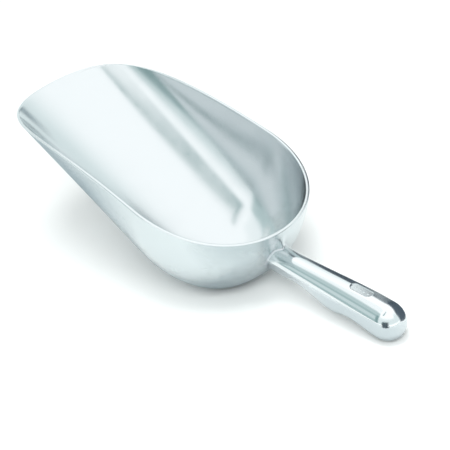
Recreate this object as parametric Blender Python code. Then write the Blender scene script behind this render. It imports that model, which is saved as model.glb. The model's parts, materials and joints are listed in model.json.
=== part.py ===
"""Cast aluminium ice scoop: a deep round-backed bowl, a contoured grip and the weld that joins them.

Metres, +Z up. The scoop is drawn in its own frame, where the bowl's back rim lies in z = 0, the lip
points along +X and the grip along -X. It is then set down as it rests on a table, on the heel of
the bowl and the butt of the grip, with the lip raised.
"""
import math

import bmesh
import bpy
import numpy as np

# ---- driving dimensions -------------------------------------------------------------------------
# bowl
BOWL_WIDTH = 0.140          # outside, across the rim at the widest place
BOWL_LENGTH = 0.2595        # outside, back of the rim to the tip of the lip
BOWL_DEPTH = 0.0774         # rim plane to the outside of the keel, where the nose ends
NOSE_LENGTH = 0.0868        # length of the rounded back
NOSE_POWER = 2.05           # 2 is a true round back, more is squarer
SECTION_POWER = 2.30        # 2 is an elliptical cross-section, more is fuller at the bilge
LIP_WIDTH = 0.1224          # width of the trough where it reaches the tip, before the lip is rounded
LIP_DROP = 0.0331           # tip of the lip below the rim plane
RIM_LEVEL = 0.052           # the rim is level this far from the back, then dips to the lip
RIM_POWER = 2.5             # how late the rim dips
BACK_WALL = 0.0026          # wall thickness at the back
LIP_WALL = 0.0020           # wall thickness at the lip

# rib cast on the back of the bowl, from under the rim down to the grip
RIB_WIDTH = 0.0125          # at its foot, over both fillets
RIB_HEIGHT = 0.0030         # how far it stands out of the back wall
RIB_TOP = 0.0030            # below the rim plane, where it starts
RIB_RISE = 0.0110           # over this height it grows to its full height
RIB_BOTTOM = 0.034          # below the rim plane, where it has faded out behind the grip

# grip
GRIP_LENGTH = 0.1250        # back wall to the end of the butt, along the grip's axis
GRIP_ROOT = 0.0256          # axis below the rim plane at the back wall
GRIP_RISE = math.radians(10.0)   # the grip rises from the bowl at this angle to the rim plane
ROOT_HALF_WIDTH = 0.0096
ROOT_ABOVE = 0.0098         # axis to the top of the grip at the root
ROOT_BELOW = 0.0125         # axis to the underside at the root
BUTT_HALF_WIDTH = 0.0135
BUTT_ABOVE = 0.0153
BUTT_BELOW = 0.0151
SWELL_END = 0.103           # the grip has swollen to its butt size this far along
BUTT_ROUND = 0.0165         # length of the rounded end
BUTT_POWER = 2.2
VALLEY_DEPTHS = (0.0022, 0.0034)   # the two finger valleys under the grip
VALLEY_PLACES = (0.0255, 0.0860)
VALLEY_REACH = (0.0200, 0.0220)
RIDGE_HEIGHT = 0.0030       # the ridge between the fingers
RIDGE_PLACE = 0.0580
RIDGE_REACH = 0.0190

# flat-floored panel sunk in the top of the grip
PANEL_LENGTH = 0.0215
PANEL_WIDTH = 0.0080
PANEL_PLACE = 0.0855        # its middle, along the grip
PANEL_SINK = 0.0010         # floor below the crown of the grip

# weld round the root of the grip
WELD_LEG = 0.0016
WELD_HOLLOW = 0.42          # where its dressed face runs, 0.5 of the leg would be flat
JOINT_GAP = 0.0003          # between pieces that meet

# mesh fineness
BOWL_CELLS_ALONG = 46       # from the back rim to the lip
BOWL_CELLS_ACROSS = 36
BACK_DENSITY = 1.2          # how much finer the cells are at the back than at the lip
RIB_DENSITY = 2.6           # how much finer they are at the rib than at the sides
GRIP_RINGS = 44
GRIP_SIDES = 32
ROOT_RINGS = 8              # rings across the grip's end face
BUTT_DENSITY = 1.6          # how much finer the rings are at the butt than at the root
PANEL_ARC = 8               # segments in each round end of the panel
SHARP_EDGE = math.radians(40.0)

# searches along a ray, for the place where it meets a surface
SEARCH_STEPS = 60           # halvings
FAR_REACH = 3.0             # the form lies within this many times the ray
SLOPE_STEP = 1.0e-6         # for the slope of a form
STEEPEST = math.radians(60.0)    # the resting tilt is less than this

SIDEWAYS = np.array([0.0, 1.0, 0.0])
BELT_GREY = (0.76, 0.78, 0.79)
POLISHED_GREY = (0.83, 0.85, 0.86)
WELD_GREY = (0.72, 0.74, 0.75)


# ---- small helpers ------------------------------------------------------------------------------
def smooth(u):
    """0 to 1 with level ends."""
    u = np.clip(u, 0.0, 1.0)
    return u * u * (3.0 - 2.0 * u)


def hump(u):
    """A bell from -1 to 1, one high in the middle and level at both ends."""
    return np.where(np.abs(u) < 1.0, np.cos(0.5 * math.pi * np.clip(u, -1.0, 1.0)) ** 2, 0.0)


def halve(inside, low, high):
    """The place between low and high where inside() stops being true."""
    for _ in range(SEARCH_STEPS):
        middle = 0.5 * (low + high)
        within = inside(middle)
        low = np.where(within, middle, low)
        high = np.where(within, high, middle)
    return 0.5 * (low + high)


# ---- the bowl's surface -------------------------------------------------------------------------
def along_trough(x, at_nose, at_lip):
    """A size that changes evenly from the end of the nose to the tip of the lip."""
    return at_nose + (at_lip - at_nose) * (x - NOSE_LENGTH) / (BOWL_LENGTH - NOSE_LENGTH)


def bowl_level(points):
    """Below zero inside the bowl's outer form, above zero outside it."""
    x, y, z = points[..., 0], points[..., 1], points[..., 2]
    width = along_trough(x, 0.5 * BOWL_WIDTH, 0.5 * LIP_WIDTH)
    depth = along_trough(x, BOWL_DEPTH, LIP_DROP)
    section = np.abs(y / width) ** SECTION_POWER + np.abs(z / depth) ** SECTION_POWER
    nose = np.clip(1.0 - x / NOSE_LENGTH, 0.0, None) ** NOSE_POWER
    return section ** (NOSE_POWER / SECTION_POWER) + nose - 1.0


def bowl_normal(points):
    """Outward unit normal of the bowl's outer form."""
    slopes = []
    for move in SLOPE_STEP * np.eye(3):
        slopes.append(bowl_level(points + move) - bowl_level(points - move))
    normal = np.stack(slopes, axis=-1)
    return normal / np.linalg.norm(normal, axis=-1, keepdims=True)


def rim_drop(x):
    """How far the rim lies below the rim plane."""
    run = np.clip((x - RIM_LEVEL) / (BOWL_LENGTH - RIM_LEVEL), 0.0, None)
    return LIP_DROP * run ** RIM_POWER


def rim_point(turn):
    """Outer edge of the rim at an angle round the bowl, 0 at the lip and pi at the back."""
    heading = np.stack([np.cos(turn), np.sin(turn)], axis=-1)

    def place(reach):
        x = NOSE_LENGTH + reach * heading[..., 0]
        return np.stack([x, reach * heading[..., 1], -rim_drop(x)], axis=-1)

    most = np.full_like(turn, FAR_REACH * BOWL_LENGTH)
    return place(halve(lambda r: bowl_level(place(r)) < 0.0, np.zeros_like(turn), most))


def rib_height(points):
    """Height of the cast rib over the back wall."""
    across = hump(points[..., 1] / (0.5 * RIB_WIDTH))
    below = -points[..., 2]
    down = smooth((below - RIB_TOP) / RIB_RISE) * smooth((RIB_BOTTOM - below) / RIB_RISE)
    at_back = points[..., 0] < NOSE_LENGTH
    return RIB_HEIGHT * across * down * at_back


def bowl_grid():
    """Points of the outer surface on a square grid, its four sides lying along the rim."""
    steps = np.linspace(0.0, 1.0, BOWL_CELLS_ALONG + 1)
    along = np.expm1(BACK_DENSITY * steps) / math.expm1(BACK_DENSITY)
    even = np.linspace(-1.0, 1.0, BOWL_CELLS_ACROSS + 1)
    across = 0.5 * (even + np.sinh(RIB_DENSITY * even) / math.sinh(RIB_DENSITY))
    a, b = np.meshgrid(2.0 * along - 1.0, across, indexing="ij")
    disc_x = a * np.sqrt(1.0 - 0.5 * b * b)
    disc_y = b * np.sqrt(1.0 - 0.5 * a * a)
    spread = np.clip(np.hypot(disc_x, disc_y), 1.0e-9, 1.0)
    run = np.where(disc_x > 0.0, BOWL_LENGTH - NOSE_LENGTH, NOSE_LENGTH)
    turn = np.arctan2(0.5 * BOWL_WIDTH * disc_y, run * disc_x)
    rim = rim_point(turn)
    reach = np.hypot(rim[..., 0] - NOSE_LENGTH, rim[..., 1])
    lean = np.arctan2(1.0, -rim[..., 2] / BOWL_DEPTH)
    ray = np.stack([reach * np.sin(spread * lean) * np.cos(turn),
                    reach * np.sin(spread * lean) * np.sin(turn),
                    -BOWL_DEPTH * np.cos(spread * lean)], axis=-1)
    centre = np.array([NOSE_LENGTH, 0.0, 0.0])
    far = halve(lambda r: bowl_level(centre + r[..., None] * ray) < 0.0,
                np.zeros_like(spread), np.full_like(spread, FAR_REACH))
    return centre + far[..., None] * ray


# ---- the grip's surface -------------------------------------------------------------------------
GRIP_DIRECTION = np.array([-math.cos(GRIP_RISE), 0.0, math.sin(GRIP_RISE)])
GRIP_UP = np.array([math.sin(GRIP_RISE), 0.0, math.cos(GRIP_RISE)])
GRIP_START = np.array([0.0, 0.0, -GRIP_ROOT])


def grip_sizes(run):
    """Half width, height above the axis and depth below it, at a distance along the grip."""
    swell = smooth(run / SWELL_END)
    side = ROOT_HALF_WIDTH + (BUTT_HALF_WIDTH - ROOT_HALF_WIDTH) * swell
    above = ROOT_ABOVE + (BUTT_ABOVE - ROOT_ABOVE) * swell
    below = ROOT_BELOW + (BUTT_BELOW - ROOT_BELOW) * swell
    for depth, place, reach in zip(VALLEY_DEPTHS, VALLEY_PLACES, VALLEY_REACH):
        below = below - depth * hump((run - place) / reach)
    below = below + RIDGE_HEIGHT * hump((run - RIDGE_PLACE) / RIDGE_REACH)
    into_round = np.clip((run - (GRIP_LENGTH - BUTT_ROUND)) / BUTT_ROUND, 0.0, 1.0)
    close = (1.0 - into_round ** BUTT_POWER) ** (1.0 / BUTT_POWER)
    return side * close, above * close, below * close


def grip_point(run, turn, share=1.0):
    """A point of the grip: along it, round it (0 at the top) and from the axis out."""
    side, above, below = grip_sizes(run)
    rise = np.where(np.cos(turn) > 0.0, above, below) * np.cos(turn)
    return (GRIP_START + run[..., None] * GRIP_DIRECTION
            + (share * rise)[..., None] * GRIP_UP
            + (share * side * np.sin(turn))[..., None] * SIDEWAYS)


def grip_root(turn, share, clearance):
    """How far along the grip its line clears the bowl's back wall and rib."""
    def buried(run):
        points = grip_point(run, turn, share)
        lift = rib_height(points) + clearance
        return bowl_level(points - lift[..., None] * bowl_normal(points)) < 0.0

    within_the_bowl = np.full_like(turn, -0.5 * NOSE_LENGTH)
    return halve(buried, within_the_bowl, np.full_like(turn, 0.5 * GRIP_LENGTH))


# ---- meshes -------------------------------------------------------------------------------------
def new_object(name, points, faces, parent, material):
    """A mesh object with its faces turned outwards, under the resting-pose empty."""
    mesh = bpy.data.meshes.new(name)
    mesh.from_pydata([tuple(point) for point in points], [], faces)
    form = bmesh.new()
    form.from_mesh(mesh)
    bmesh.ops.recalc_face_normals(form, faces=form.faces)
    form.to_mesh(mesh)
    form.free()
    mesh.shade_smooth()
    mesh.set_sharp_from_angle(angle=SHARP_EDGE)
    mesh.materials.append(material)
    piece = bpy.data.objects.new(name, mesh)
    piece.parent = parent
    bpy.context.collection.objects.link(piece)
    return piece


def grid_faces(rows, columns, first=0, closed=False):
    """Quads of a grid of points; closed joins its last column to its first."""
    faces = []
    for row in range(rows - 1):
        for column in range(columns if closed else columns - 1):
            beside = (column + 1) % columns
            here = first + row * columns
            faces.append((here + column, here + beside,
                          here + columns + beside, here + columns + column))
    return faces


def mirrored_triangles(rows, columns, first=0):
    """Triangles of a grid, their diagonals mirrored about its middle column."""
    triangles = []
    for quad in grid_faces(rows, columns, first):
        if (quad[0] - first) % columns < columns // 2:
            triangles += [(quad[0], quad[1], quad[2]), (quad[0], quad[2], quad[3])]
        else:
            triangles += [(quad[0], quad[1], quad[3]), (quad[1], quad[2], quad[3])]
    return triangles


def edge_loop(rows, columns):
    """Grid indices round the border of a grid, in order."""
    end_row, end_column = rows - 1, columns - 1
    loop = [column for column in range(end_column)]
    loop += [row * columns + end_column for row in range(end_row)]
    loop += [end_row * columns + end_column - column for column in range(end_column)]
    loop += [(end_row - row) * columns for row in range(end_row)]
    return loop


def wall_thickness(x):
    """The casting thins evenly from the back to the lip."""
    return BACK_WALL + (LIP_WALL - BACK_WALL) * np.clip(x / BOWL_LENGTH, 0.0, 1.0)


def make_bowl(parent):
    """The cast shell: outer form with its rib, inner form one wall inside, and the rim between."""
    form = bowl_grid()
    normal = bowl_normal(form)
    outer = form + rib_height(form)[..., None] * normal
    inner = form - wall_thickness(form[..., 0])[..., None] * normal
    rows, columns = form.shape[:2]
    skin = rows * columns
    points = np.concatenate([outer.reshape(-1, 3), inner.reshape(-1, 3)])
    faces = mirrored_triangles(rows, columns)
    faces += [tuple(reversed(face)) for face in mirrored_triangles(rows, columns, first=skin)]
    loop = edge_loop(rows, columns)
    for here, there in zip(loop, loop[1:] + loop[:1]):
        faces.append((here, here + skin, there + skin, there))
    return new_object("bowl", points, faces, parent,
                      finish("satin_cast_aluminium", BELT_GREY, roughness=0.28))


def make_panel_cutter(parent):
    """A round-ended slab whose flat underside cuts the floor of the panel."""
    _, crown, _ = grip_sizes(np.array([PANEL_PLACE - 0.5 * PANEL_LENGTH,
                                       PANEL_PLACE + 0.5 * PANEL_LENGTH]))
    tilt = math.atan2(crown[1] - crown[0], PANEL_LENGTH)
    floor = 0.5 * (crown[0] + crown[1]) - PANEL_SINK
    ahead = math.cos(tilt) * GRIP_DIRECTION + math.sin(tilt) * GRIP_UP
    up = math.cos(tilt) * GRIP_UP - math.sin(tilt) * GRIP_DIRECTION
    middle = GRIP_START + PANEL_PLACE * GRIP_DIRECTION + floor * GRIP_UP
    round_end = 0.5 * PANEL_WIDTH
    straight = 0.5 * PANEL_LENGTH - round_end
    outline = []
    for end in (1, -1):
        for step in range(PANEL_ARC + 1):
            angle = math.pi * (step / PANEL_ARC - 0.5)
            outline.append((end * (straight + round_end * math.cos(angle)),
                            end * round_end * math.sin(angle)))
    points = []
    for lift in (0.0, PANEL_SINK + PANEL_WIDTH):
        for run, sideways in outline:
            points.append(middle + run * ahead + sideways * SIDEWAYS + lift * up)
    count = len(outline)
    faces = [tuple(range(count)), tuple(range(count, 2 * count))]
    for here in range(count):
        there = (here + 1) % count
        faces.append((here, there, count + there, count + here))
    cutter = new_object("panel_cutter", points, faces, parent,
                        finish("panel_floor", POLISHED_GREY, roughness=0.10))
    cutter.hide_render = True
    cutter.display_type = "WIRE"
    return cutter


def make_handle(parent):
    """The solid cast grip: its end face follows the bowl's back, its other end is a rounded butt."""
    turns = np.linspace(0.0, 2.0 * math.pi, GRIP_SIDES, endpoint=False)
    rings = []
    for ring in range(1, ROOT_RINGS + 1):
        share = np.full_like(turns, ring / ROOT_RINGS)
        rings.append(grip_point(grip_root(turns, share, JOINT_GAP), turns, share))
    start = grip_root(turns, np.ones_like(turns), JOINT_GAP)
    for step in range(1, GRIP_RINGS):
        share = step / GRIP_RINGS
        toward_butt = 1.0 - (1.0 - share) ** BUTT_DENSITY
        rings.append(grip_point(start + toward_butt * (GRIP_LENGTH - start), turns))
    columns = len(turns)
    points = np.concatenate(rings)
    faces = grid_faces(len(rings), columns, closed=True)
    axis = np.array([0.0])
    root_middle = grip_point(grip_root(axis, np.zeros(1), JOINT_GAP), axis, np.zeros(1))
    butt_middle = grip_point(np.array([GRIP_LENGTH]), axis)
    points = np.concatenate([points, root_middle, butt_middle])
    last_ring = (len(rings) - 1) * columns
    for column in range(columns):
        beside = (column + 1) % columns
        faces.append((beside, column, len(points) - 2))
        faces.append((last_ring + column, last_ring + beside, len(points) - 1))
    handle = new_object("handle", points, faces, parent,
                        finish("polished_cast_aluminium", POLISHED_GREY, roughness=0.10))
    cut = handle.modifiers.new("panel", "BOOLEAN")
    cut.operation = "DIFFERENCE"
    cut.object = make_panel_cutter(parent)
    return handle


def make_neck_weld(parent):
    """The dressed weld: a small fillet ring in the corner between the back wall and the grip."""
    turns = np.linspace(0.0, 2.0 * math.pi, GRIP_SIDES, endpoint=False)
    over_grip = 1.0 + JOINT_GAP / ROOT_HALF_WIDTH
    over_leg = over_grip + WELD_LEG / ROOT_HALF_WIDTH
    between = 0.5 * (over_grip + over_leg)
    rings = []
    for share, clearance in ((over_grip, JOINT_GAP), (over_grip, JOINT_GAP + WELD_LEG),
                             (between, JOINT_GAP + WELD_HOLLOW * WELD_LEG), (over_leg, JOINT_GAP)):
        spread = np.full_like(turns, share)
        rings.append(grip_point(grip_root(turns, spread, clearance), turns, spread))
    points = np.concatenate(rings)
    columns = len(turns)
    faces = grid_faces(len(rings), columns, closed=True)
    for column in range(columns):
        beside = (column + 1) % columns
        last = (len(rings) - 1) * columns
        faces.append((last + column, last + beside, beside, column))
    return new_object("neck_weld", points, faces, parent,
                      finish("dressed_weld", WELD_GREY, roughness=0.22))


def finish(name, colour, roughness):
    """A bare metal finish."""
    material = bpy.data.materials.new(name)
    material.use_nodes = True
    shader = material.node_tree.nodes["Principled BSDF"]
    shader.inputs["Base Color"].default_value = (*colour, 1.0)
    shader.inputs["Metallic"].default_value = 1.0
    shader.inputs["Roughness"].default_value = roughness
    return material


# ---- resting pose -------------------------------------------------------------------------------
def tilted(points, tilt):
    """Points with the lip raised by the tilt."""
    x = points[:, 0] * math.cos(tilt) - points[:, 2] * math.sin(tilt)
    z = points[:, 0] * math.sin(tilt) + points[:, 2] * math.cos(tilt)
    return x, z


def corners(piece):
    """A piece's corner points in the scoop's own frame."""
    return np.array([tuple(vertex.co) for vertex in piece.data.vertices])


def set_down(rest, bowl, handle):
    """Tilt and place the scoop so that heel and butt touch z = 0, with its box centred on the origin."""
    bowl_points, handle_points = corners(bowl), corners(handle)

    def heel_is_lower(tilt):
        return tilted(bowl_points, float(tilt))[1].min() < tilted(handle_points, float(tilt))[1].min()

    tilt = float(halve(heel_is_lower, 0.0, STEEPEST))
    x, z = tilted(np.concatenate([bowl_points, handle_points]), tilt)
    rest.rotation_euler = (0.0, -tilt, 0.0)
    rest.location = (-0.5 * (x.min() + x.max()), 0.0, -z.min())


def main():
    for piece in list(bpy.data.objects):
        bpy.data.objects.remove(piece, do_unlink=True)
    rest = bpy.data.objects.new("resting_pose", None)
    bpy.context.collection.objects.link(rest)
    bowl = make_bowl(rest)
    handle = make_handle(rest)
    make_neck_weld(rest)
    set_down(rest, bowl, handle)


main()
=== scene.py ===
"""Cast aluminium ice scoop: its finished surfaces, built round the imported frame.

The bowl, the grip and the weld are made again as fine meshes from the sizes of the frame's solids,
in the scoop's own frame, and set down in its resting place, which is read from the record. In the
scoop's own frame the back of the rim is the origin, the rim lies in z = 0, the lip points along +X
and the grip along -X.
"""
import json
import math

import bmesh
import bpy
import numpy as np
from mathutils import Matrix, Vector


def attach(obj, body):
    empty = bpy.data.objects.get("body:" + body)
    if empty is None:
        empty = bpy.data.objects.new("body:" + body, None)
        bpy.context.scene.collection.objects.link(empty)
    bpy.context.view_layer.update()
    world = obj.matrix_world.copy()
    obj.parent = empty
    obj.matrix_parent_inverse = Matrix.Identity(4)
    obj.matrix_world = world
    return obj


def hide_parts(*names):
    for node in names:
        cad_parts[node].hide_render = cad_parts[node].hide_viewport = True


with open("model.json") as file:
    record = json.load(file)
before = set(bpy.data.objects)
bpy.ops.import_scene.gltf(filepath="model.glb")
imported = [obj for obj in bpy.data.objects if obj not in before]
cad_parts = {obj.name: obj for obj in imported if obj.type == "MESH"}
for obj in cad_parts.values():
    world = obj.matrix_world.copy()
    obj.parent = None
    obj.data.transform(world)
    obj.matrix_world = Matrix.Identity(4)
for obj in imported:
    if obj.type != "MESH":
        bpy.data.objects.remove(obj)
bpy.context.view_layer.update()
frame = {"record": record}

bl_info = {
    "name": "Ice Scoop",
    "version": (1, 0, 0),
    "blender": (4, 5, 0),
    "location": "View3D > Sidebar > Scoop",
    "description": "Builds a cast aluminium ice scoop and the table it lies on",
    "category": "Add Mesh",
}

MM = 0.001
SIDEWAYS = np.array([0.0, 1.0, 0.0])
HALVINGS = 48               # of a search's range, past what a mesh can hold
SLOPE_STEP = 0.001 * MM
MERGE_STEP = 0.0001 * MM


# ---- sizes and colours a user may change --------------------------------------------------------
def length(name, description, millimetres):
    """A length property, its default in millimetres."""
    return bpy.props.FloatProperty(name=name, description=description, default=millimetres * MM,
                                   min=0.0, unit="LENGTH", subtype="DISTANCE", precision=5)


def power(name, description, default):
    """The exponent of a rounded outline."""
    return bpy.props.FloatProperty(name=name, description=description, default=default,
                                   min=1.5, max=6.0)


def tint(name, description, hexadecimal):
    """A colour property, its default an sRGB hex value."""
    return bpy.props.FloatVectorProperty(name=name, description=description, size=3, subtype="COLOR",
                                         min=0.0, max=1.0, default=linear(hexadecimal))


def linear(hexadecimal):
    """sRGB hex, such as "C8CCCE", to linear red, green and blue."""
    channels = [int(hexadecimal[place:place + 2], 16) / 255.0 for place in (0, 2, 4)]
    return tuple(c / 12.92 if c <= 0.04045 else ((c + 0.055) / 1.055) ** 2.4 for c in channels)


class BowlSizes(bpy.types.PropertyGroup):
    """Sizes of the bowl."""

    width: length("Width", "Outside, across the rim at the widest place", 140.0)
    run: length("Length", "Back of the rim to the tip of the lip", 259.5)
    depth: length("Depth", "Rim plane to the outside of the keel", 77.4)
    nose: length("Round back", "Length of the rounded back", 86.8)
    nose_power: power("Back roundness", "2 is a true round back, more is squarer", 2.05)
    section_power: power("Section roundness", "2 is an elliptical section, more is fuller", 2.30)
    lip_width: length("Trough width", "Width at the tip, before the lip is rounded", 122.4)
    lip_drop: length("Lip drop", "Tip of the lip below the rim plane", 33.1)
    rim_level: length("Level rim", "The rim is level this far from the back", 52.0)
    rim_power: power("Rim dip", "How late the rim dips to the lip", 2.5)
    back_wall: length("Back wall", "Wall thickness at the back", 2.6)
    lip_wall: length("Lip wall", "Wall thickness at the lip", 2.0)
    rim_crown: length("Rim crown", "Height of the eased edge on the ground rim", 0.45)
    rib_width: length("Rib width", "Rib cast on the back wall, over its fillets", 12.5)
    rib_height: length("Rib height", "How far the rib stands out", 3.0)
    rib_top: length("Rib top", "Below the rim plane, where the rib starts", 3.0)
    rib_rise: length("Rib rise", "Over this height it grows to its full height", 11.0)
    rib_bottom: length("Rib bottom", "Below the rim plane, where it has faded out", 34.0)


class GripSizes(bpy.types.PropertyGroup):
    """Sizes of the grip, measured along its axis from the back of the rim."""

    run: length("Length", "Back wall to the end of the butt", 125.0)
    root_drop: length("Root drop", "Axis below the rim plane at the back wall", 25.6)
    rise: bpy.props.FloatProperty(name="Rise", description="Angle between the grip and the rim plane",
                                  default=math.radians(10.0), unit="ROTATION", subtype="ANGLE")
    root_side: length("Root half width", "Axis to the side at the root", 9.6)
    root_above: length("Root top", "Axis to the top at the root", 9.8)
    root_below: length("Root underside", "Axis to the underside at the root", 12.5)
    butt_side: length("Butt half width", "Axis to the side at the butt", 13.5)
    butt_above: length("Butt top", "Axis to the top at the butt", 15.3)
    butt_below: length("Butt underside", "Axis to the underside at the butt", 15.1)
    swell_end: length("Swell", "The grip has swollen to its butt size this far along", 103.0)
    butt_round: length("Butt round", "Length of the rounded end", 16.5)
    butt_power: power("Butt roundness", "2 is an elliptical end, more is squarer", 2.2)
    first_depth: length("First valley depth", "Depth of the forefinger's valley", 2.2)
    second_depth: length("Second valley depth", "Depth of the last fingers' valley", 3.4)
    first_valley: length("First valley", "Place of the forefinger's valley", 25.5)
    first_reach: length("First valley reach", "Half its length", 20.0)
    second_valley: length("Second valley", "Place of the last fingers' valley", 86.0)
    second_reach: length("Second valley reach", "Half its length", 22.0)
    ridge_height: length("Ridge height", "Height of the ridge between the fingers", 3.0)
    ridge: length("Ridge", "Place of the ridge", 58.0)
    ridge_reach: length("Ridge reach", "Half its length", 19.0)


class PanelSizes(bpy.types.PropertyGroup):
    """Sizes of the sunk panel in the top of the grip and of its marks."""

    run: length("Length", "Over the round ends", 21.5)
    width: length("Width", "Across the panel", 8.0)
    place: length("Place", "Its middle, along the grip", 85.5)
    sink: length("Sink", "Floor below the crown of the grip", 1.0)
    border: length("Border", "Thickness of the raised line round the floor", 0.7)
    mark_run: length("Mark length", "Length of one lozenge", 3.0)
    mark_width: length("Mark width", "Width of one lozenge", 3.0)
    mark_height: length("Mark height", "How far a lozenge stands out of the floor", 0.5)
    marks: bpy.props.IntProperty(name="Marks", description="Lozenges in the row", default=4, min=1)


class WeldSizes(bpy.types.PropertyGroup):
    """Sizes of the dressed weld round the root of the grip."""

    leg: length("Leg", "How far the fillet runs up the wall and along the grip", 1.1)
    fullness: bpy.props.FloatProperty(name="Fullness", default=0.35, min=0.0, max=0.5,
                                      description="0.5 is a flat fillet, less is hollower")


class Finishes(bpy.types.PropertyGroup):
    """Colours of the metal."""

    outside: tint("Outside", "Belt-finished outside of the bowl", "CBD3D5")
    inside: tint("Inside", "Buffed inside of the bowl", "CFD5D7")
    rim: tint("Rim", "Ground rim", "D4DADC")
    grip: tint("Grip", "Buffed grip", "D8DDDF")
    weld: tint("Weld", "Dressed weld", "C9CED2")


GROUPS = {"scoop_bowl": BowlSizes, "scoop_grip": GripSizes, "scoop_panel": PanelSizes,
          "scoop_weld": WeldSizes, "scoop_finishes": Finishes}


# ---- forms --------------------------------------------------------------------------------------
def smooth(u):
    """0 to 1 with level ends."""
    u = np.clip(u, 0.0, 1.0)
    return u * u * (3.0 - 2.0 * u)


def hump(u):
    """A bell from -1 to 1, one high in the middle and level at both ends."""
    return np.where(np.abs(u) < 1.0, np.cos(0.5 * math.pi * np.clip(u, -1.0, 1.0)) ** 2, 0.0)


def halve(inside, low, high):
    """The place between low and high where inside() stops being true."""
    for _ in range(HALVINGS):
        middle = 0.5 * (low + high)
        within = inside(middle)
        low = np.where(within, middle, low)
        high = np.where(within, high, middle)
    return 0.5 * (low + high)


class BowlForm:
    """The outer form of the bowl: a superellipsoid back on a tapering superelliptic trough."""

    # how far out a search goes, well past the form
    past_rim = 1.5      # of the bowl's length
    past_skin = 3.0     # of the ray through the rim

    def __init__(self, sizes):
        self.sizes = sizes

    def along_trough(self, x, at_nose, at_lip):
        """A size that changes evenly along the trough."""
        nose = self.sizes.nose
        return at_nose + (at_lip - at_nose) * (x - nose) / (self.sizes.run - nose)

    def level(self, points):
        """Below zero inside the form, above zero outside it."""
        sizes = self.sizes
        x, y, z = points[..., 0], points[..., 1], points[..., 2]
        width = self.along_trough(x, 0.5 * sizes.width, 0.5 * sizes.lip_width)
        depth = self.along_trough(x, sizes.depth, sizes.lip_drop)
        section = np.abs(y / width) ** sizes.section_power + np.abs(z / depth) ** sizes.section_power
        nose = np.clip(1.0 - x / sizes.nose, 0.0, None) ** sizes.nose_power
        return section ** (sizes.nose_power / sizes.section_power) + nose - 1.0

    def normal(self, points):
        """Outward unit normal."""
        slopes = []
        for axis in np.eye(3) * SLOPE_STEP:
            slopes.append(self.level(points + axis) - self.level(points - axis))
        normal = np.stack(slopes, axis=-1)
        return normal / np.linalg.norm(normal, axis=-1, keepdims=True)

    def rim_drop(self, x):
        """How far the rim has dipped towards the lip."""
        sizes = self.sizes
        run = np.clip((x - sizes.rim_level) / (sizes.run - sizes.rim_level), 0.0, None)
        return sizes.lip_drop * run ** sizes.rim_power

    def rim_point(self, turn):
        """Outer edge of the rim at an angle round the bowl, 0 at the lip and pi at the back."""

        def place(reach):
            x = self.sizes.nose + reach * np.cos(turn)
            return np.stack([x, reach * np.sin(turn), -self.rim_drop(x)], axis=-1)

        most = np.full_like(turn, self.past_rim * self.sizes.run)
        return place(halve(lambda r: self.level(place(r)) < 0.0, np.zeros_like(turn), most))

    def rib(self, points):
        """Height of the cast rib over the back wall."""
        sizes = self.sizes
        across = hump(points[..., 1] / (0.5 * sizes.rib_width))
        below = -points[..., 2]
        down = smooth((below - sizes.rib_top) / sizes.rib_rise)
        down = down * smooth((sizes.rib_bottom - below) / sizes.rib_rise)
        return sizes.rib_height * across * down * (points[..., 0] < 0.5 * sizes.nose)

    def wall(self, x):
        """The casting thins evenly from the back to the lip."""
        sizes = self.sizes
        return sizes.back_wall + (sizes.lip_wall - sizes.back_wall) * np.clip(x / sizes.run, 0.0, 1.0)

    def grid(self, along_cells, across_cells, density=1.0, rib_density=1.6):
        """Points of the form on a grid whose four sides lie along the rim, finest at the rib."""
        along = np.expm1(density * np.linspace(0.0, 1.0, along_cells + 1)) / math.expm1(density)
        even = np.linspace(-1.0, 1.0, across_cells + 1)
        across = 0.5 * (even + np.sinh(rib_density * even) / math.sinh(rib_density))
        a, b = np.meshgrid(2.0 * along - 1.0, across, indexing="ij")
        disc_x = a * np.sqrt(1.0 - 0.5 * b * b)
        disc_y = b * np.sqrt(1.0 - 0.5 * a * a)
        spread = np.minimum(np.hypot(disc_x, disc_y), 1.0)
        sizes = self.sizes
        run = np.where(disc_x > 0.0, sizes.run - sizes.nose, sizes.nose)
        turn = np.arctan2(0.5 * sizes.width * disc_y, run * disc_x)
        rim = self.rim_point(turn)
        reach = np.hypot(rim[..., 0] - sizes.nose, rim[..., 1])
        lean = spread * np.arctan2(1.0, -rim[..., 2] / sizes.depth)
        ray = np.stack([reach * np.sin(lean) * np.cos(turn), reach * np.sin(lean) * np.sin(turn),
                        -sizes.depth * np.cos(lean)], axis=-1)
        centre = np.array([sizes.nose, 0.0, 0.0])
        far = halve(lambda r: self.level(centre + r[..., None] * ray) < 0.0,
                    np.zeros_like(spread), np.full_like(spread, self.past_skin))
        return centre + far[..., None] * ray


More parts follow.
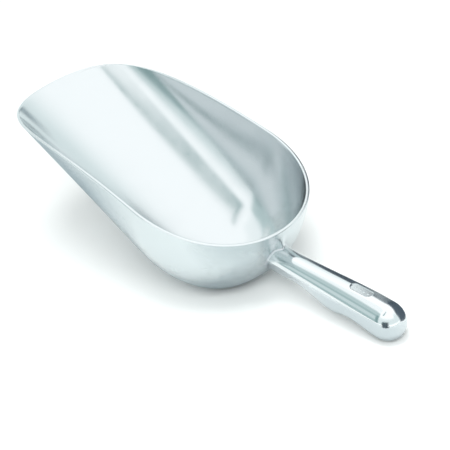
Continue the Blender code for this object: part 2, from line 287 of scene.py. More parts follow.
class GripForm:
    """The grip: superposed swell, finger valleys and a rounded butt along a straight axis."""

    # where the root is looked for: into the bowl by this much of its back, and out by this much of
    # the grip
    into_bowl = 0.2
    out_along = 0.3

    def __init__(self, sizes, bowl):
        self.sizes = sizes
        self.bowl = bowl
        rise = sizes.rise
        self.direction = np.array([-math.cos(rise), 0.0, math.sin(rise)])
        self.up = np.array([math.sin(rise), 0.0, math.cos(rise)])
        self.start = np.array([0.0, 0.0, -sizes.root_drop])

    def girth(self, run):
        """Half width, height above the axis and depth below it."""
        sizes = self.sizes
        swell = smooth(run / sizes.swell_end)
        side = sizes.root_side + (sizes.butt_side - sizes.root_side) * swell
        above = sizes.root_above + (sizes.butt_above - sizes.root_above) * swell
        below = sizes.root_below + (sizes.butt_below - sizes.root_below) * swell
        below = below - sizes.first_depth * hump((run - sizes.first_valley) / sizes.first_reach)
        below = below - sizes.second_depth * hump((run - sizes.second_valley) / sizes.second_reach)
        below = below + sizes.ridge_height * hump((run - sizes.ridge) / sizes.ridge_reach)
        return side, above, below

    def point(self, run, turn, spread):
        """A point along the grip, round it (0 at the top) and out from its axis."""
        side, above, below = self.girth(run)
        rise = np.where(np.cos(turn) > 0.0, above, below) * np.cos(turn)
        return (self.start + run[..., None] * self.direction + (spread * rise)[..., None] * self.up
                + (spread * side * np.sin(turn))[..., None] * SIDEWAYS)

    def root(self, turn, spread, clearance):
        """How far along the grip its line comes clear of the back wall and the rib."""

        def buried(run):
            points = self.point(run, turn, spread)
            lift = self.bowl.rib(points) + clearance
            return self.bowl.level(points - lift[..., None] * self.bowl.normal(points)) < 0.0

        low = np.full_like(turn, -self.into_bowl * self.bowl.sizes.nose)
        return halve(buried, low, np.full_like(turn, self.out_along * self.sizes.run))


def panel_place(panel, grip):
    """The panel's floor: its middle, the way along it, its upward normal."""
    ends = np.array([panel.place - 0.5 * panel.run, panel.place + 0.5 * panel.run])
    crown = grip.girth(ends)[1]
    tilt = math.atan2(crown[1] - crown[0], panel.run)
    along = math.cos(tilt) * grip.direction + math.sin(tilt) * grip.up
    up = math.cos(tilt) * grip.up - math.sin(tilt) * grip.direction
    middle = grip.start + panel.place * grip.direction + (crown.mean() - panel.sink) * grip.up
    return middle, along, up


def forms(scene):
    """The bowl's and the grip's forms from the scene's sizes."""
    bowl = BowlForm(scene.scoop_bowl)
    return bowl, GripForm(scene.scoop_grip, bowl)


# ---- mesh helpers -------------------------------------------------------------------------------
def resting_place(bowl):
    """From the scoop's own frame to the frame of the record."""
    mount = next(m for m in frame["record"]["mounts"] if m["name"] == "rim_land")
    up = Vector(mount["axis"]).normalized()
    side = Vector(SIDEWAYS)
    along = side.cross(up)
    place = Matrix((along, side, up)).transposed().to_4x4()
    place.translation = Vector(mount["pos_m"]) - 0.5 * bowl.sizes.back_wall * along
    return place


def grid_faces(rows, columns, first=0, closed=False, turned=False):
    """Quads of a grid of points; closed joins its last column to its first."""
    faces = []
    for row in range(rows - 1):
        for column in range(columns if closed else columns - 1):
            beside = (column + 1) % columns
            face = (first + row * columns + column, first + row * columns + beside,
                    first + (row + 1) * columns + beside, first + (row + 1) * columns + column)
            faces.append(face[::-1] if turned else face)
    return faces


def border(rows, columns):
    """Grid indices round the border of a grid, in order."""
    end_row, end_column = rows - 1, columns - 1
    loop = list(range(end_column))
    loop += [row * columns + end_column for row in range(end_row)]
    loop += [end_row * columns + end_column - column for column in range(end_column)]
    loop += [(end_row - row) * columns for row in range(end_row)]
    return loop


def new_mesh(name, points, faces):
    """A mesh object from points and faces, linked to the scene."""
    mesh = bpy.data.meshes.new(name)
    mesh.from_pydata(np.asarray(points).reshape(-1, 3).tolist(), [], faces)
    piece = bpy.data.objects.new(name, mesh)
    bpy.context.collection.objects.link(piece)
    return piece


def settle(piece, place, sharp_degrees=30.0):
    """Turn the faces outwards, smooth them and put the mesh in its resting place."""
    form = bmesh.new()
    form.from_mesh(piece.data)
    bmesh.ops.remove_doubles(form, verts=form.verts, dist=MERGE_STEP)
    bmesh.ops.recalc_face_normals(form, faces=form.faces)
    form.to_mesh(piece.data)
    form.free()
    piece.data.shade_smooth()
    piece.data.set_sharp_from_angle(angle=math.radians(sharp_degrees))
    piece.data.transform(place)
    piece.data.update()


def keep(piece, slot, *nodes):
    """Hand the finished piece to the frame."""
    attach(piece, "root")
    if nodes:
        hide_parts(*nodes)


def bake(piece):
    """Replace a piece's mesh by what its modifiers make of it."""
    made = bpy.data.meshes.new_from_object(
        piece.evaluated_get(bpy.context.evaluated_depsgraph_get()))
    piece.modifiers.clear()
    piece.data = made
    made.name = piece.name


# ---- node helper --------------------------------------------------------------------------------
MATH = "ShaderNodeMath"
VECTORS = "ShaderNodeVectorMath"


def add(tree, kind, feeds=(), result=None, **settings):
    """Add a node with its settings, and feed its inputs, by name or in order, values or sockets.

    Gives back the node, or the output that result names.
    """
    node = tree.nodes.new(kind)
    for name, value in settings.items():
        setattr(node, name, value)
    for name, value in feeds.items() if isinstance(feeds, dict) else enumerate(feeds):
        socket = node.inputs[name]
        if isinstance(value, bpy.types.NodeSocket):
            tree.links.new(value, socket)
        else:
            socket.default_value = value
    return node if result is None else node.outputs[result]


def new_tree(name, inputs):
    """A geometry tree with named inputs, and its input and output nodes."""
    tree = bpy.data.node_groups.new(name, "GeometryNodeTree")
    tree.interface.new_socket("Geometry", in_out="INPUT", socket_type="NodeSocketGeometry")
    tree.interface.new_socket("Geometry", in_out="OUTPUT", socket_type="NodeSocketGeometry")
    for label, kind in inputs:
        tree.interface.new_socket(label, in_out="INPUT", socket_type=kind)
    return tree, tree.nodes.new("NodeGroupInput"), tree.nodes.new("NodeGroupOutput")


def end_tree(tree, given, result, geometry):
    """Finish a tree: real geometry, in the piece's material."""
    real = add(tree, "GeometryNodeRealizeInstances", {"Geometry": geometry}, "Geometry")
    dressed = add(tree, "GeometryNodeSetMaterial",
                  {"Geometry": real, "Material": given.outputs["Material"]}, "Geometry")
    tree.links.new(dressed, result.inputs["Geometry"])


def run_tree(piece, tree, values):
    """Put a tree on a piece as a modifier and set its named inputs."""
    modifier = piece.modifiers.new(tree.name, "NODES")
    modifier.node_group = tree
    for item in tree.interface.items_tree:
        if item.in_out == "INPUT" and item.name in values:
            modifier[item.identifier] = values[item.name]


# ---- geometry trees -----------------------------------------------------------------------------
GRIP_INPUTS = (
    ("Length", "run"), ("Root half width", "root_side"), ("Root top", "root_above"),
    ("Root underside", "root_below"), ("Butt half width", "butt_side"),
    ("Butt top", "butt_above"), ("Butt underside", "butt_below"), ("Swell", "swell_end"),
    ("Butt round", "butt_round"), ("Butt roundness", "butt_power"),
    ("First valley depth", "first_depth"), ("First valley", "first_valley"),
    ("First valley reach", "first_reach"), ("Second valley depth", "second_depth"),
    ("Second valley", "second_valley"), ("Second valley reach", "second_reach"),
    ("Ridge height", "ridge_height"), ("Ridge", "ridge"), ("Ridge reach", "ridge_reach"))


def grip_tree():
    """Places each point of a tube by how far it lies along, round and out from the grip's axis."""
    inputs = [(label, "NodeSocketFloat") for label, _ in GRIP_INPUTS]
    inputs += [(name, "NodeSocketVector") for name in ("Start", "Direction", "Up")]
    tree, given, result = new_tree("scoop_grip", inputs + [("Material", "NodeSocketMaterial")])
    size = given.outputs
    root, along, turn, spread = (
        add(tree, "GeometryNodeInputNamedAttribute", {"Name": name}, "Attribute", data_type="FLOAT")
        for name in ("root_run", "along", "turn", "spread"))
    left = add(tree, MATH, (size["Length"], root), 0, operation="SUBTRACT")
    run = add(tree, MATH, (along, left, root), 0, operation="MULTIPLY_ADD")

    def bell(place, reach, height):
        """A cosine-squared bell along the grip."""
        wave = run
        for operation, value in (
                ("SUBTRACT", place), ("DIVIDE", reach), ("ABSOLUTE", 0.0), ("MINIMUM", 1.0),
                ("MULTIPLY", 0.5 * math.pi), ("COSINE", 0.0), ("POWER", 2.0), ("MULTIPLY", height)):
            wave = add(tree, MATH, (wave, value), 0, operation=operation)
        return wave

    swell = add(tree, "ShaderNodeMapRange", {"Value": run, "From Max": size["Swell"]}, "Result",
                interpolation_type="SMOOTHSTEP")

    def between(at_root, at_butt):
        """From its size at the root to its size at the butt, as the grip swells."""
        more = add(tree, MATH, (at_butt, at_root), 0, operation="SUBTRACT")
        return add(tree, MATH, (swell, more, at_root), 0, operation="MULTIPLY_ADD")

    side = between(size["Root half width"], size["Butt half width"])
    above = between(size["Root top"], size["Butt top"])
    below = between(size["Root underside"], size["Butt underside"])
    for label in ("First valley", "Second valley"):
        dip = bell(size[label], size[label + " reach"], size[label + " depth"])
        below = add(tree, MATH, (below, dip), 0, operation="SUBTRACT")
    bulge = bell(size["Ridge"], size["Ridge reach"], size["Ridge height"])
    below = add(tree, MATH, (below, bulge), 0, operation="ADD")

    # how far the section has closed: 1 along the grip, 0 at the end of the butt
    rounding = add(tree, MATH, (size["Length"], size["Butt round"]), 0, operation="SUBTRACT")
    inverse = add(tree, MATH, (1.0, size["Butt roundness"]), 0, operation="DIVIDE")
    closed = run
    for operation, value in (
            ("SUBTRACT", rounding), ("DIVIDE", size["Butt round"]), ("MAXIMUM", 0.0),
            ("MINIMUM", 1.0), ("POWER", size["Butt roundness"]), ("MULTIPLY", -1.0), ("ADD", 1.0),
            ("MAXIMUM", 0.0), ("POWER", inverse), ("MULTIPLY", spread)):
        closed = add(tree, MATH, (closed, value), 0, operation=operation)

    cosine = add(tree, MATH, (turn,), 0, operation="COSINE")
    top = add(tree, MATH, (cosine, 0.0), 0, operation="GREATER_THAN")
    taller = add(tree, MATH, (above, below), 0, operation="SUBTRACT")
    tall = add(tree, MATH, (top, taller, below), 0, operation="MULTIPLY_ADD")
    rise = add(tree, MATH, (tall, cosine), 0, operation="MULTIPLY")
    rise = add(tree, MATH, (rise, closed), 0, operation="MULTIPLY")
    sine = add(tree, MATH, (turn,), 0, operation="SINE")
    out = add(tree, MATH, (side, sine), 0, operation="MULTIPLY")
    out = add(tree, MATH, (out, closed), 0, operation="MULTIPLY")

    place = add(tree, "ShaderNodeCombineXYZ", {"Y": out}, "Vector")
    for way, amount in ((size["Direction"], run), (size["Up"], rise), (size["Start"], 1.0)):
        moved = add(tree, VECTORS, {"Vector": way, "Scale": amount}, "Vector", operation="SCALE")
        place = add(tree, VECTORS, (place, moved), "Vector", operation="ADD")
    placed = add(tree, "GeometryNodeSetPosition",
                 {"Geometry": size["Geometry"], "Position": place}, "Geometry")
    end_tree(tree, given, result, placed)
    return tree


LOZENGE_BASE = 0.5          # half the length and width; the top is smaller
LOZENGE_TOP = 0.3
END_SHARE = 0.4999          # a hair under half the width: the arcs of an end don't share a point
END_STEPS = 14
LINE_SIDES = 12


def marks_tree():
    """A row of low lozenges along X, each with a flat top and sloping sides."""
    tree, given, result = new_tree("panel_marks", [
        ("Count", "NodeSocketInt"), ("Row", "NodeSocketFloat"), ("Length", "NodeSocketFloat"),
        ("Width", "NodeSocketFloat"), ("Height", "NodeSocketFloat"), ("Sunk", "NodeSocketFloat"),
        ("Material", "NodeSocketMaterial")])
    size = given.outputs
    ends = []
    for share in (-0.5, 0.5):
        run = add(tree, MATH, (size["Row"], share), 0, operation="MULTIPLY")
        ends.append(add(tree, "ShaderNodeCombineXYZ", {"X": run}, "Vector"))
    row = add(tree, "GeometryNodeMeshLine",
              {"Count": size["Count"], "Start Location": ends[0], "Offset": ends[1]}, "Mesh",
              mode="END_POINTS")
    cone = add(tree, "GeometryNodeMeshCone",
               {"Vertices": 4, "Radius Top": LOZENGE_TOP, "Radius Bottom": LOZENGE_BASE,
                "Depth": 1.0}, "Mesh", fill_type="NGON")
    tall = add(tree, MATH, (size["Height"], size["Sunk"]), 0, operation="ADD")
    box = add(tree, "ShaderNodeCombineXYZ",
              {"X": size["Length"], "Y": size["Width"], "Z": tall}, "Vector")
    down = add(tree, MATH, (size["Sunk"], -1.0), 0, operation="MULTIPLY")
    low = add(tree, "ShaderNodeCombineXYZ", {"Z": down}, "Vector")
    lozenge = add(tree, "GeometryNodeTransform",
                  {"Geometry": cone, "Translation": low, "Scale": box}, "Geometry")
    placed = add(tree, "GeometryNodeInstanceOnPoints", {"Points": row, "Instance": lozenge},
                 "Instances")
    end_tree(tree, given, result, placed)
    return tree


def border_tree():
    """A half-round line that follows the outline of the panel."""
    tree, given, result = new_tree("panel_border", [
        ("Length", "NodeSocketFloat"), ("Width", "NodeSocketFloat"),
        ("Thickness", "NodeSocketFloat"), ("Material", "NodeSocketMaterial")])
    size = given.outputs
    outline = add(tree, "GeometryNodeCurvePrimitiveQuadrilateral",
                  {"Width": size["Length"], "Height": size["Width"]}, "Curve", mode="RECTANGLE")
    arc = add(tree, MATH, (size["Width"], END_SHARE), 0, operation="MULTIPLY")
    rounded = add(tree, "GeometryNodeFilletCurve",
                  {"Curve": outline, "Count": END_STEPS, "Radius": arc}, "Curve", mode="POLY")
    radius = add(tree, MATH, (size["Thickness"], 0.5), 0, operation="MULTIPLY")
    section = add(tree, "GeometryNodeCurvePrimitiveCircle",
                  {"Resolution": LINE_SIDES, "Radius": radius}, "Curve")
    line = add(tree, "GeometryNodeCurveToMesh", {"Curve": rounded, "Profile Curve": section},
               "Mesh")
    end_tree(tree, given, result, line)
    return tree


# ---- materials ----------------------------------------------------------------------------------
CLOUD_SHARE = 0.6           # of the roughness pattern; the rest is grain
NOISE_RANGE = (0.3, 0.7)    # where nearly all of a noise pattern's values lie


def metal(name, colour, roughness, spread, grain_mm, bump_mm, stretch=(1.0, 1.0, 1.0), cloud_mm=18.0):
    """Bare cast aluminium: roughness varies with a fine grain and with broad clouds.

    A finishing belt's grit is about 0.1 mm and a mop's is finer, too fine to show, so each grain is
    drawn a few times as coarse.
    """
    if name in bpy.data.materials:
        return bpy.data.materials[name]
    material = bpy.data.materials.new(name)
    material.use_nodes = True
    tree = material.node_tree
    shader = tree.nodes["Principled BSDF"]
    shader.inputs["Base Color"].default_value = (*colour, 1.0)
    shader.inputs["Metallic"].default_value = 1.0
    place = add(tree, "ShaderNodeTexCoord", result="Object")
    drawn = add(tree, "ShaderNodeMapping", {"Vector": place, "Scale": stretch}, "Vector")
    grain = add(tree, "ShaderNodeTexNoise",
                {"Vector": drawn, "Scale": 1.0 / (grain_mm * MM), "Detail": 3.0}, "Fac")
    cloud = add(tree, "ShaderNodeTexNoise",
                {"Vector": place, "Scale": 1.0 / (cloud_mm * MM), "Detail": 2.0}, "Fac")
    mixed = add(tree, MATH, (grain, 1.0 - CLOUD_SHARE), 0, operation="MULTIPLY")
    mixed = add(tree, MATH, (cloud, CLOUD_SHARE, mixed), 0, operation="MULTIPLY_ADD")
    rough = add(tree, "ShaderNodeMapRange", {
        "Value": mixed, "From Min": NOISE_RANGE[0], "From Max": NOISE_RANGE[1],
        "To Min": roughness - spread, "To Max": roughness + spread}, "Result")
    tree.links.new(rough, shader.inputs["Roughness"])
    bump = add(tree, "ShaderNodeBump",
               {"Height": grain, "Distance": bump_mm * MM, "Strength": 1.0}, "Normal")
    tree.links.new(bump, shader.inputs["Normal"])
    return material


def outside_metal(scene):
    """The outside of the casting, finished on a fine belt: satin, its grain along the bowl."""
    return metal("belt_finished_cast_aluminium", scene.scoop_finishes.outside, roughness=0.24,
                 spread=0.05, grain_mm=0.5, bump_mm=0.004, stretch=(0.25, 1.0, 1.0))


def inside_metal(scene):
    """The inside of the casting, buffed: nearly bright, with faint lines along the bowl."""
    return metal("buffed_cast_aluminium", scene.scoop_finishes.inside, roughness=0.17,
                 spread=0.04, grain_mm=0.6, bump_mm=0.004, stretch=(0.12, 1.0, 1.0))


def rim_metal(scene):
    """The rim of the casting, ground after casting: an even grey line."""
    return metal("ground_cast_aluminium", scene.scoop_finishes.rim, roughness=0.26,
                 spread=0.05, grain_mm=0.3, bump_mm=0.003)


def grip_metal(scene):
    """The grip, cast solid and polished on a mop: nearly a mirror."""
    return metal("mop_polished_cast_aluminium", scene.scoop_finishes.grip, roughness=0.10,
                 spread=0.03, grain_mm=0.8, bump_mm=0.002)


def weld_metal(scene):
    """The weld bead, dressed back with a small burr: a little rough."""
    return metal("burr_dressed_weld_aluminium", scene.scoop_finishes.weld, roughness=0.24,
                 spread=0.06, grain_mm=0.25, bump_mm=0.02)


# ---- operators ----------------------------------------------------------------------------------
class BuildBowl(bpy.types.Operator):
    """The cast bowl: belt-finished outside with its rib, buffed inside, ground and eased rim"""

    bl_idname = "scoop.bowl"
    bl_label = "Bowl"

    along_cells = 200
    across_cells = 168
    rim_shares = (0.0, 0.07, 0.2, 0.38, 0.62, 0.8, 0.93, 1.0)

    def execute(self, context):
        bowl, _ = forms(context.scene)
        form = bowl.grid(self.along_cells, self.across_cells)
        normal = bowl.normal(form)
        outer = form + bowl.rib(form)[..., None] * normal
        inner = form - bowl.wall(form[..., 0])[..., None] * normal
        rows, columns = form.shape[:2]
        skin = rows * columns
        loop = border(rows, columns)
        outer_edge, inner_edge = outer.reshape(-1, 3)[loop], inner.reshape(-1, 3)[loop]
        way = np.roll(outer_edge, -1, axis=0) - np.roll(outer_edge, 1, axis=0)
        up = np.cross(way, normal.reshape(-1, 3)[loop])
        up *= np.sign(up[:, 2:]) / np.linalg.norm(up, axis=1, keepdims=True)
        land = [outer_edge]
        for share in self.rim_shares[1:-1]:
            # a flat land with eased edges
            lift = bowl.sizes.rim_crown * (1.0 - (2.0 * share - 1.0) ** 4)
            land.append(outer_edge + share * (inner_edge - outer_edge) + lift * up)
        land.append(inner_edge)
        points = np.concatenate([outer.reshape(-1, 3), inner.reshape(-1, 3)] + land)
        faces = grid_faces(rows, columns)
        inside = len(faces)
        faces += grid_faces(rows, columns, first=skin, turned=True)
        rim = len(faces)
        faces += grid_faces(len(land), len(loop), first=2 * skin, closed=True, turned=True)
        piece = new_mesh("bowl_shell", points, faces)
        for make in (outside_metal, inside_metal, rim_metal):
            piece.data.materials.append(make(context.scene))
        finishes = np.zeros(len(faces), dtype=np.int32)
        finishes[inside:rim] = 1
        finishes[rim:] = 2
        piece.data.polygons.foreach_set("material_index", finishes)
        settle(piece, resting_place(bowl), sharp_degrees=40.0)
        keep(piece, "satin_casting", "bowl")
        return {"FINISHED"}


class BuildGrip(bpy.types.Operator):
    """The solid grip with its finger valleys, rounded butt and sunk panel"""

    bl_idname = "scoop.grip"
    bl_label = "Grip"

    rings = 150
    sides = 96
    root_rings = 10
    butt_density = 1.7
    gap = 0.05 * MM
    end_points = 25

    def execute(self, context):
        scene = context.scene
        bowl, grip = forms(scene)
        turns = np.linspace(0.0, 2.0 * math.pi, self.sides, endpoint=False)
        even = np.linspace(0.0, 1.0, self.rings + 1)
        spreads = np.concatenate([np.linspace(0.0, 1.0, self.root_rings + 1)[:-1],
                                  np.ones(self.rings + 1)])
        alongs = np.concatenate([np.zeros(self.root_rings), 1.0 - (1.0 - even) ** self.butt_density])
        spread, turn = np.meshgrid(spreads, turns, indexing="ij")
        along = np.broadcast_to(alongs[:, None], spread.shape)
        roots = grip.root(turn[:self.root_rings + 1], spread[:self.root_rings + 1], self.gap)
        root = np.concatenate([roots, np.repeat(roots[-1:], self.rings, axis=0)])
        rows, columns = spread.shape
        piece = new_mesh("grip_casting", np.zeros((rows * columns, 3)),
                         grid_faces(rows, columns, closed=True))
        for name, values in (("spread", spread), ("turn", turn), ("along", along),
                             ("root_run", root)):
            layer = piece.data.attributes.new(name, "FLOAT", "POINT")
            layer.data.foreach_set("value", values.ravel().astype(np.float32))
        values = {label: getattr(scene.scoop_grip, key) for label, key in GRIP_INPUTS}
        values.update({"Start": grip.start.tolist(), "Direction": grip.direction.tolist(),
                       "Up": grip.up.tolist(), "Material": grip_metal(scene)})
        run_tree(piece, grip_tree(), values)
        bake(piece)
        settle(piece, Matrix.Identity(4))
        cutter = self.panel_cutter(scene.scoop_panel, grip)
        cut = piece.modifiers.new("panel", "BOOLEAN")
        cut.object = cutter
        bake(piece)
        bpy.data.objects.remove(cutter, do_unlink=True)
        settle(piece, resting_place(bowl))
        keep(piece, "polished_casting", "handle")
        return {"FINISHED"}

    def panel_cutter(self, panel, grip):
        """A round-ended slab, its flat underside the panel's floor."""
        middle, along, up = panel_place(panel, grip)
        angles = np.linspace(-0.5 * math.pi, 0.5 * math.pi, self.end_points)
        radius = 0.5 * panel.width
        straight = 0.5 * panel.run - radius
        half = np.stack([straight + radius * np.cos(angles), radius * np.sin(angles)], axis=1)
        outline = np.concatenate([half, -half])
        flat = middle + outline[:, :1] * along + outline[:, 1:] * SIDEWAYS
        points = np.concatenate([flat, flat + (panel.sink + panel.width) * up])
        count = len(outline)
        faces = grid_faces(2, count, closed=True)
        faces += [tuple(range(count)), tuple(range(count, 2 * count))]
        cutter = new_mesh("panel_cutter", points, faces)
        settle(cutter, Matrix.Identity(4))
        return cutter


class BuildWeld(bpy.types.Operator):
    """The dressed fillet weld in the corner between the back wall and the grip"""

    bl_idname = "scoop.weld"
    bl_label = "Weld"

    sides = 192
    steps = 8
    sunk = 0.3 * MM

    def execute(self, context):
        scene = context.scene
        bowl, grip = forms(scene)
        leg, fullness = scene.scoop_weld.leg, scene.scoop_weld.fullness
        turns = np.linspace(0.0, 2.0 * math.pi, self.sides, endpoint=False)
        profile = [(-self.sunk, -self.sunk), (leg, -self.sunk)]
        for share in np.linspace(0.0, 1.0, self.steps + 1):
            dip = 4.0 * share * (1.0 - share) * (0.5 - fullness) * leg
            profile.append(((1.0 - share) * leg - dip, share * leg - dip))
        profile.append((-self.sunk, leg))
        rings = []
        for over_grip, over_wall in profile:
            spread = np.full_like(turns, 1.0 + over_grip / grip.sizes.root_side)
            rings.append(grip.point(grip.root(turns, spread, over_wall), turns, spread))
        rings.append(rings[0])
        piece = new_mesh("weld_fillet", np.concatenate(rings),
                         grid_faces(len(rings), self.sides, closed=True))
        piece.data.materials.append(weld_metal(scene))
        settle(piece, resting_place(bowl), sharp_degrees=50.0)
        keep(piece, "dressed_weld", "neck_weld")
        return {"FINISHED"}


class BuildPanelMarks(bpy.types.Operator):
    """The raised line and the plain lozenges cast in the grip's panel"""

    bl_idname = "scoop.panel_marks"
    bl_label = "Panel marks"

    sunk = 0.2 * MM
    pitch = 1.35    # of a lozenge's length, from one to the next
    inset = 1.6     # of the line's thickness, off the panel's length and width

    def execute(self, context):
        scene = context.scene
        bowl, grip = forms(scene)
        panel = scene.scoop_panel
        middle, along, up = (Vector(part) for part in panel_place(panel, grip))
        here = Matrix((along, up.cross(along), up)).transposed().to_4x4()
        here.translation = middle
        row = (panel.marks - 1) * self.pitch * panel.mark_run
        inset = self.inset * panel.border
        for name, tree, values in (
                ("panel_marks", marks_tree(), {
                    "Count": panel.marks, "Row": row, "Length": panel.mark_run,
                    "Width": panel.mark_width, "Height": panel.mark_height, "Sunk": self.sunk}),
                ("panel_border", border_tree(), {
                    "Length": panel.run - inset, "Width": panel.width - inset,
                    "Thickness": panel.border})):
            piece = new_mesh(name, np.zeros((0, 3)), [])
            run_tree(piece, tree, dict(values, Material=grip_metal(scene)))
            bake(piece)
            settle(piece, resting_place(bowl) @ here)
            keep(piece, "polished_casting")
        return {"FINISHED"}


class BuildStage(bpy.types.Operator):
    """The pale table, the studio round it and the camera"""

    bl_idname = "scoop.stage"
    bl_label = "Stage"

    aim = (-0.0057, 0.0013, 0.0452)
    azimuth = math.radians(-36.97)
    elevation = math.radians(28.65)
    roll = math.radians(-11.27)
    distance = 2.0503
    lens = 219.2

    # soft lights: place, size in metres, power in watts
    lamps = {
        "overhead": ((-0.2, 0.2, 1.6), 0.7, 11.0),
        "key": ((-1.1, 0.8, 1.1), 0.7, 17.0),
    }

    table_half = 3.0
    board_roughness = 0.7
    even = 1.46             # the studio as the metal shows it, where no zone lies
    cool = 0.33             # how much faster than green and blue the red falls off in the dark
    ambient = 0.83          # the studio as everything else sees it, and its colour
    haze = "FAFFFF"
    # what the metal shows of the studio, in degrees: from and to round it, from and to up, the soft
    # edge, and the brightness
    zones = (
        ((20.0, 72.0), (46.0, 66.0), 8.0, 1.33),
        ((-180.0, 10.0), (-90.0, 30.0), 30.0, 1.12),
        ((80.0, 180.0), (-90.0, 20.0), 20.0, 1.12),
        ((24.0, 66.0), (30.0, 42.0), 9.0, 0.80),
        ((62.0, 75.0), (29.0, 43.0), 5.0, 0.80),
        ((61.0, 72.0), (2.0, 30.0), 5.0, 0.46),
        ((40.0, 58.0), (6.0, 30.0), 6.0, 0.92),
        ((41.0, 58.0), (0.0, 7.0), 4.0, 0.66),
        ((41.0, 60.0), (25.0, 30.0), 4.0, 0.66),
        ((98.0, 116.0), (0.0, 8.0), 8.0, 0.45),
    )
    # the streak down the bowl leans: its middle goes round by this much for each degree up
    lean = 0.75
    streak = ((58.5, 63.0), (48.0, 72.0), 5.0, 0.50)
    card_fade = 0.25        # of a card's side, from its edge to its full cover
    # painted reflections: cards that only the metal shows, each a corner, two sides and a colour
    cards = {
        # painted reflections: the dark and grey sheets standing round the butt, the grip and the lip
        # show in the metal as dark parts of the studio
        "behind_butt": ((-0.29, -0.05, -0.03), (0.19, 0.0, 0.0), (0.0, 0.0, 0.155), "4A5560"),
        "beside_grip": ((-0.09, -0.118, -0.04), (0.18, -0.084, 0.0), (0.0, 0.0, 0.28), "4A5560"),
        "beyond_lip": ((0.195, -0.2, 0.185), (0.13, 0.0, 0.0), (0.0, 0.0, 0.065), "8C989E"),
        "before_butt": ((-0.174, 0.073, -0.012), (-0.045, -0.027, 0.0), (0.0, 0.0, 0.052), "5A666E"),
        # painted shadow: the grey sheets flat on the table under the heel, beside the butt and under
        # the lip put the table's shade round the scoop into the metal's reflection
        "under_heel": ((-0.07, -0.04, 0.001), (0.20, 0.0, 0.0), (0.0, 0.10, 0.0), "BCC3C6"),
        "beside_butt": ((-0.30, -0.06, 0.0015), (0.25, 0.0, 0.0), (0.05, 0.30, 0.0), "CDD3D4"),
        # painted highlight: the pale sheet high over the lip shows in the metal as a bright
        # reflection
        "over_lip": ((0.165, -0.06, 0.24), (0.11, 0.0, 0.0), (0.03, 0.22, 0.0), "F4F6F6"),
        "under_lip": ((-0.04, -0.37, 0.002), (0.50, 0.0, 0.0), (0.14, 0.58, 0.0), "A4AFB4"),
    }

    def execute(self, context):
        self.floor()
        self.world(context.scene)
        self.lights(context.scene)
        self.hang_cards()
        self.camera(context.scene)
        return {"FINISHED"}

    def floor(self):
        """A plain pale table top."""
        half = self.table_half
        piece = new_mesh("table", [(-half, -half, 0.0), (half, -half, 0.0), (half, half, 0.0),
                                   (-half, half, 0.0)], [(0, 1, 2, 3)])
        piece.data.materials.append(self.matt("matt_white_laminate", "F2F3F2"))

    def world(self, scene):
        """A studio that only the metal shows in detail; everything else sees it evenly pale."""
        world = bpy.data.worlds.new("studio")
        scene.world = world
        world.use_nodes = True
        tree = world.node_tree
        way = add(tree, "ShaderNodeTexCoord", result="Generated")
        axis = add(tree, "ShaderNodeSeparateXYZ", {"Vector": way}).outputs
        azimuth = add(tree, MATH, (axis["Y"], axis["X"]), 0, operation="ARCTAN2")
        azimuth = add(tree, MATH, (azimuth,), 0, operation="DEGREES")
        height = add(tree, MATH, (axis["Z"],), 0, operation="ARCSINE")
        height = add(tree, MATH, (height,), 0, operation="DEGREES")
        leaning = add(tree, MATH, (height, -self.lean, azimuth), 0, operation="MULTIPLY_ADD")
        light = self.even
        patches = [(azimuth, zone) for zone in self.zones] + [(leaning, self.streak)]
        for angle, (around, above, soft, bright) in patches:
            mask = add(tree, MATH, (self.within(tree, angle, around, soft),
                                    self.within(tree, height, above, soft)), 0,
                       operation="MULTIPLY")
            change = add(tree, MATH, (bright, light), 0, operation="SUBTRACT")
            light = add(tree, MATH, (mask, change, light), 0, operation="MULTIPLY_ADD")
        # the darker parts are cooler: red falls off faster than green and blue
        dim = add(tree, MATH, (light, self.even), 0, operation="DIVIDE")
        dim = add(tree, MATH, (dim, self.cool), 0, operation="POWER")
        red = add(tree, MATH, (light, dim), 0, operation="MULTIPLY")
        colour = add(tree, "ShaderNodeCombineColor", {"Red": red, "Green": light, "Blue": light},
                     "Color")
        metal_sees = add(tree, "ShaderNodeBackground", {"Color": colour}, "Background")
        even = add(tree, "ShaderNodeBackground",
                   {"Strength": self.ambient, "Color": (*linear(self.haze), 1.0)}, "Background")
        glossy = add(tree, "ShaderNodeLightPath", result="Is Glossy Ray")
        both = add(tree, "ShaderNodeMixShader", (glossy, even, metal_sees), "Shader")
        tree.links.new(both, tree.nodes["World Output"].inputs["Surface"])
        tree.nodes.remove(tree.nodes["Background"])
        scene.view_settings.view_transform = "Standard"

    def within(self, tree, angle, limits, soft):
        """1 between two angles, falling to 0 over a soft edge outside them."""
        sides = []
        for limit, outside in ((limits[0], limits[0] - soft), (limits[1], limits[1] + soft)):
            sides.append(add(tree, "ShaderNodeMapRange",
                             {"Value": angle, "From Min": outside, "From Max": limit}, "Result",
                             interpolation_type="SMOOTHSTEP"))
        return add(tree, MATH, sides, 0, operation="MULTIPLY")

    def lights(self, scene):
        """Broad soft lights, which the metal doesn't show."""
        for name, (place, size, watts) in self.lamps.items():
            light = bpy.data.lights.new(name, "AREA")
            light.size, light.energy = size, watts
            lamp = bpy.data.objects.new(name, light)
            lamp.location = place
            lamp.rotation_euler = (-Vector(place)).to_track_quat("-Z", "Y").to_euler()
            lamp.visible_glossy = False
            scene.collection.objects.link(lamp)

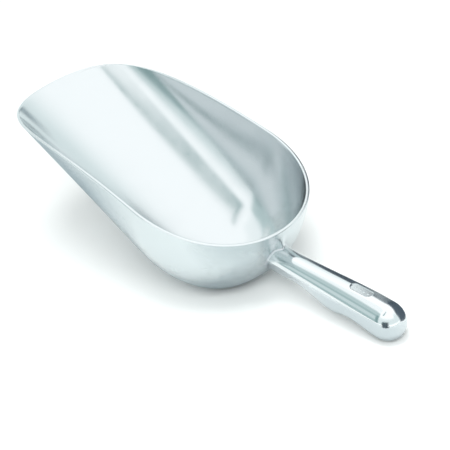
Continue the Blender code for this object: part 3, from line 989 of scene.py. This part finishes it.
    def hang_cards(self):
        """Cards that only the metal shows, fading out towards their edges: painted reflections,
        painted shadow and a painted highlight.
        """
        steps = (0.0, self.card_fade, 1.0 - self.card_fade, 1.0)
        count = len(steps)
        for name, (corner, side, rise, colour) in self.cards.items():
            here, along, up = Vector(corner), Vector(side), Vector(rise)
            piece = new_mesh(name, [here + across * along + high * up
                                    for high in steps for across in steps],
                             grid_faces(count, count))
            cover = piece.data.attributes.new("cover", "FLOAT", "POINT")
            whole = [float(0.0 < across < 1.0 and 0.0 < high < 1.0)
                     for high in steps for across in steps]
            cover.data.foreach_set("value", whole)
            board = self.matt("matt_card", colour)
            tree = board.node_tree
            shown = add(tree, "ShaderNodeMixShader", (
                add(tree, "ShaderNodeAttribute", result="Fac", attribute_name="cover"),
                add(tree, "ShaderNodeBsdfTransparent", result="BSDF"),
                tree.nodes["Principled BSDF"].outputs["BSDF"]), "Shader")
            tree.links.new(shown, tree.nodes["Material Output"].inputs["Surface"])
            piece.data.materials.append(board)
            # seen by nothing but the metal's reflections, so each card is a painted reflection
            piece.visible_camera = piece.visible_diffuse = piece.visible_shadow = False

    def matt(self, name, colour):
        """A matt board or laminate."""
        material = bpy.data.materials.new(name)
        material.use_nodes = True
        shader = material.node_tree.nodes["Principled BSDF"]
        shader.inputs["Base Color"].default_value = (*linear(colour), 1.0)
        shader.inputs["Roughness"].default_value = self.board_roughness
        return material

    def camera(self, scene):
        """The camera, a little rolled."""
        way = Vector((math.cos(self.elevation) * math.cos(self.azimuth),
                      math.cos(self.elevation) * math.sin(self.azimuth),
                      -math.sin(self.elevation)))
        lens = bpy.data.cameras.new("camera")
        lens.lens = self.lens
        camera = bpy.data.objects.new("camera", lens)
        turn = way.to_track_quat("-Z", "Y").to_matrix().to_4x4()
        camera.matrix_world = (Matrix.Translation(Vector(self.aim) - self.distance * way) @ turn
                               @ Matrix.Rotation(self.roll, 4, "Z"))
        scene.collection.objects.link(camera)
        scene.camera = camera


class ScoopPanel(bpy.types.Panel):
    """The operators, in the order they are run"""

    bl_idname = "VIEW3D_PT_scoop"
    bl_label = "Ice scoop"
    bl_space_type = "VIEW_3D"
    bl_region_type = "UI"
    bl_category = "Scoop"

    def draw(self, context):
        for operator in OPERATORS:
            self.layout.operator(operator.bl_idname)


OPERATORS = (BuildBowl, BuildGrip, BuildWeld, BuildPanelMarks, BuildStage)


def register():
    for kind in (*GROUPS.values(), *OPERATORS, ScoopPanel):
        bpy.utils.register_class(kind)
    for name, group in GROUPS.items():
        setattr(bpy.types.Scene, name, bpy.props.PointerProperty(type=group))


def unregister():
    for name in GROUPS:
        delattr(bpy.types.Scene, name)
    for kind in reversed((*GROUPS.values(), *OPERATORS, ScoopPanel)):
        bpy.utils.unregister_class(kind)


def main():
    register()
    bpy.ops.scoop.bowl()
    bpy.ops.scoop.grip()
    bpy.ops.scoop.weld()
    bpy.ops.scoop.panel_marks()
    bpy.ops.scoop.stage()


if __name__ == "__main__":
    main()
